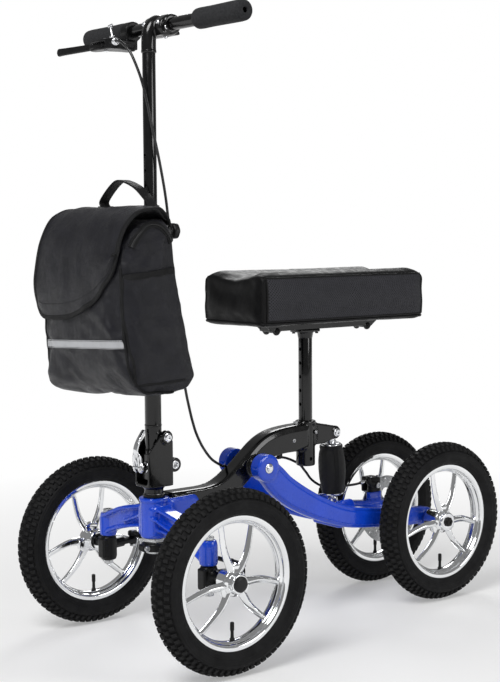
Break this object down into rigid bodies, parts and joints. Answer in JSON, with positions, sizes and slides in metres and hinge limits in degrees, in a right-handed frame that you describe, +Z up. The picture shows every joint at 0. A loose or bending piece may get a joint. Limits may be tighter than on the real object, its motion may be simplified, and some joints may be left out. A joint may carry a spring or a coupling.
{
  "type": "knee scooter",
  "caption": "Steerable four-wheeled knee scooter with padded knee rest, front bag, folding stem and sprung rear swing arm.",
  "frame": {"origin": "on the ground, midway between the axles, on the centre plane", "axes": "+X forward to the handlebar, +Y to the rider's left, +Z up"},
  "size_m": [0.9234, 0.4806, 1.0977],
  "materials": {
    "tyre_rubber": "matte",
    "rim_chrome": "polished",
    "black_rubber": "matte",
    "blue_paint": "gloss",
    "black_paint": "gloss",
    "bright_chrome": "polished",
    "zinc_steel": "satin",
    "black_plastic": "satin",
    "foam_grip": "matte",
    "bag_nylon": "matte",
    "pad_vinyl": "matte",
    "plywood": "matte"
  },
  "bodies": {
    "frame": {"front_yoke": "blue_paint", "upper_head_bearing": "zinc_steel", "lower_head_bearing": "zinc_steel", "main_frame": "black_paint", "swing_arm_pivot_shaft": "zinc_steel", "shock_upper_bolt": "zinc_steel", "brake_cable_rear": "black_plastic"},
    "steering_column": {"steerer_bracket": "black_paint", "fold_hinge_bolt": "zinc_steel", "pitman_arm": "black_paint"},
    "left_knuckle": {"left_knuckle": "black_paint", "left_kingpin": "zinc_steel"},
    "right_knuckle": {"right_knuckle": "black_paint", "right_kingpin": "zinc_steel"},
    "left_tie_rod": {"left_tie_rod": "black_paint"},
    "right_tie_rod": {"right_tie_rod": "black_paint"},
    "stem": {"stem_tube": "black_paint", "draw_bolt": "bright_chrome", "bag_body": "bag_nylon"},
    "fold_lever": {"fold_lever": "bright_chrome"},
    "height_knob": {"height_knob": "black_plastic"},
    "bag_flap": {"bag_flap": "bag_nylon"},
    "handlebar": {"mast": "black_paint", "gooseneck": "black_paint", "handlebar": "black_paint", "left_grip": "foam_grip", "right_grip": "foam_grip", "brake_bracket": "black_paint", "brake_cable_upper": "black_plastic"},
    "brake_lever": {"brake_lever": "black_plastic"},
    "parking_latch": {"parking_latch": "bright_chrome"},
    "seat": {"seat_post": "black_paint", "pad_rail": "black_paint", "pad_board": "plywood", "knee_pad": "pad_vinyl"},
    "seat_knob": {"seat_knob": "black_plastic"},
    "swing_arm": {"swing_arm": "blue_paint", "rear_axle": "zinc_steel", "shock_lower_bolt": "zinc_steel", "caliper_body": "black_paint"},
    "caliper_arm": {"caliper_arm": "black_paint"},
    "shock_upper": {"shock_body": "bright_chrome", "shock_cover": "bag_nylon", "shock_spring": "zinc_steel"},
    "shock_lower": {"shock_shaft": "bright_chrome"},
    "left_front_wheel": {"left_front_tyre": "tyre_rubber", "left_front_rim": "rim_chrome", "left_front_valve": "black_rubber", "left_front_hub_cap": "black_plastic"},
    "right_front_wheel": {"right_front_tyre": "tyre_rubber", "right_front_rim": "rim_chrome", "right_front_valve": "black_rubber", "right_front_hub_cap": "black_plastic"},
    "left_rear_wheel": {"left_rear_tyre": "tyre_rubber", "left_rear_rim": "rim_chrome", "left_rear_valve": "black_rubber"},
    "right_rear_wheel": {"right_rear_tyre": "tyre_rubber", "right_rear_rim": "rim_chrome", "right_rear_valve": "black_rubber", "brake_rotor": "zinc_steel"}
  },
  "joints": [
    {"name": "steering", "type": "hinge", "parent": "frame", "child": "steering_column", "pos_m": [0.313, 0, 0.2], "axis": [0, 0, 1], "range_deg": [-32, 32]},
    {"name": "left_knuckle_swivel", "type": "hinge", "parent": "frame", "child": "left_knuckle", "pos_m": [0.31, 0.152, 0.15], "axis": [0, 0, 1], "range_deg": [-32, 32]},
    {"name": "right_knuckle_swivel", "type": "hinge", "parent": "frame", "child": "right_knuckle", "pos_m": [0.31, -0.152, 0.15], "axis": [0, 0, 1], "range_deg": [-32, 32]},
    {"name": "left_tie_rod_pivot", "type": "hinge", "parent": "steering_column", "child": "left_tie_rod", "pos_m": [0.253, 0.01, 0.166], "axis": [0, 0, 1], "range_deg": [-32, 32]},
    {"name": "right_tie_rod_pivot", "type": "hinge", "parent": "steering_column", "child": "right_tie_rod", "pos_m": [0.253, -0.01, 0.166], "axis": [0, 0, 1], "range_deg": [-32, 32]},
    {"name": "stem_fold", "type": "hinge", "parent": "steering_column", "child": "stem", "pos_m": [0.3, 0, 0.371], "axis": [0, -1, 0], "range_deg": [0, 25]},
    {"name": "fold_lever_open", "type": "hinge", "parent": "stem", "child": "fold_lever", "pos_m": [0.342, 0, 0.32], "axis": [0, 1, 0], "range_deg": [0, 100]},
    {"name": "height_knob_turn", "type": "hinge", "parent": "stem", "child": "height_knob", "pos_m": [0.27, 0, 0.727], "axis": [1, 0, 0], "range_deg": [-180, 180]},
    {"name": "bag_flap_open", "type": "hinge", "parent": "stem", "child": "bag_flap", "pos_m": [0.34, 0, 0.754], "axis": [0, -1, 0], "range_deg": [0, 80]},
    {"name": "handlebar_height", "type": "slide", "parent": "stem", "child": "handlebar", "axis": [0, 0, 1], "range_m": [-0.15, 0.03]},
    {"name": "brake_lever_pull", "type": "hinge", "parent": "handlebar", "child": "brake_lever", "pos_m": [0.336, -0.097, 1.05], "axis": [0, 0, -1], "range_deg": [0, 16]},
    {"name": "parking_latch_flip", "type": "hinge", "parent": "handlebar", "child": "parking_latch", "pos_m": [0.336, -0.076, 1.061], "axis": [0, 0, 1], "range_deg": [0, 60]},
    {"name": "seat_height", "type": "slide", "parent": "frame", "child": "seat", "axis": [0, 0, -1], "range_m": [-0.03, 0.12]},
    {"name": "seat_knob_turn", "type": "hinge", "parent": "frame", "child": "seat_knob", "pos_m": [-0.0365, -0.03, 0.34], "axis": [0, 1, 0], "range_deg": [-180, 180]},
    {"name": "swing_arm_travel", "type": "hinge", "parent": "frame", "child": "swing_arm", "pos_m": [0.102, 0, 0.2995], "axis": [0, 1, 0], "range_deg": [-2, 7]},
    {"name": "shock_swing", "type": "hinge", "parent": "frame", "child": "shock_upper", "pos_m": [-0.0998, 0, 0.341], "axis": [0, 1, 0], "range_deg": [-2, 7]},
    {"name": "shock_stroke", "type": "slide", "parent": "shock_upper", "child": "shock_lower", "axis": [0.0561, 0, 0.9984], "range_m": [-0.0075, 0.0255], "deforming": ["shock_spring", "shock_cover"]},
    {"name": "caliper_arm_turn", "type": "hinge", "parent": "swing_arm", "child": "caliper_arm", "pos_m": [-0.265, -0.043, 0.211], "axis": [0, -1, 0], "range_deg": [0, 12.8]},
    {"name": "left_front_spin", "type": "hinge", "parent": "left_knuckle", "child": "left_front_wheel", "pos_m": [0.3067, 0.21, 0.155], "axis": [0, 1, 0], "continuous": true},
    {"name": "right_front_spin", "type": "hinge", "parent": "right_knuckle", "child": "right_front_wheel", "pos_m": [0.3067, -0.21, 0.155], "axis": [0, 1, 0], "continuous": true},
    {"name": "left_rear_spin", "type": "hinge", "parent": "swing_arm", "child": "left_rear_wheel", "pos_m": [-0.3067, 0.092, 0.155], "axis": [0, 1, 0], "continuous": true},
    {"name": "right_rear_spin", "type": "hinge", "parent": "swing_arm", "child": "right_rear_wheel", "pos_m": [-0.3067, -0.092, 0.155], "axis": [0, 1, 0], "continuous": true}
  ],
  "couplings": [
    {"joint": "left_knuckle_swivel", "follows": "steering", "ratio": 1},
    {"joint": "right_knuckle_swivel", "follows": "steering", "ratio": 1},
    {"joint": "left_tie_rod_pivot", "follows": "steering", "ratio": -1},
    {"joint": "right_tie_rod_pivot", "follows": "steering", "ratio": -1},
    {"joint": "shock_swing", "follows": "swing_arm_travel", "ratio": 0.83},
    {"joint": "shock_stroke", "follows": "swing_arm_travel", "m_per_rad": 0.2045},
    {"joint": "caliper_arm_turn", "follows": "brake_lever_pull", "ratio": 0.8}
  ]
}
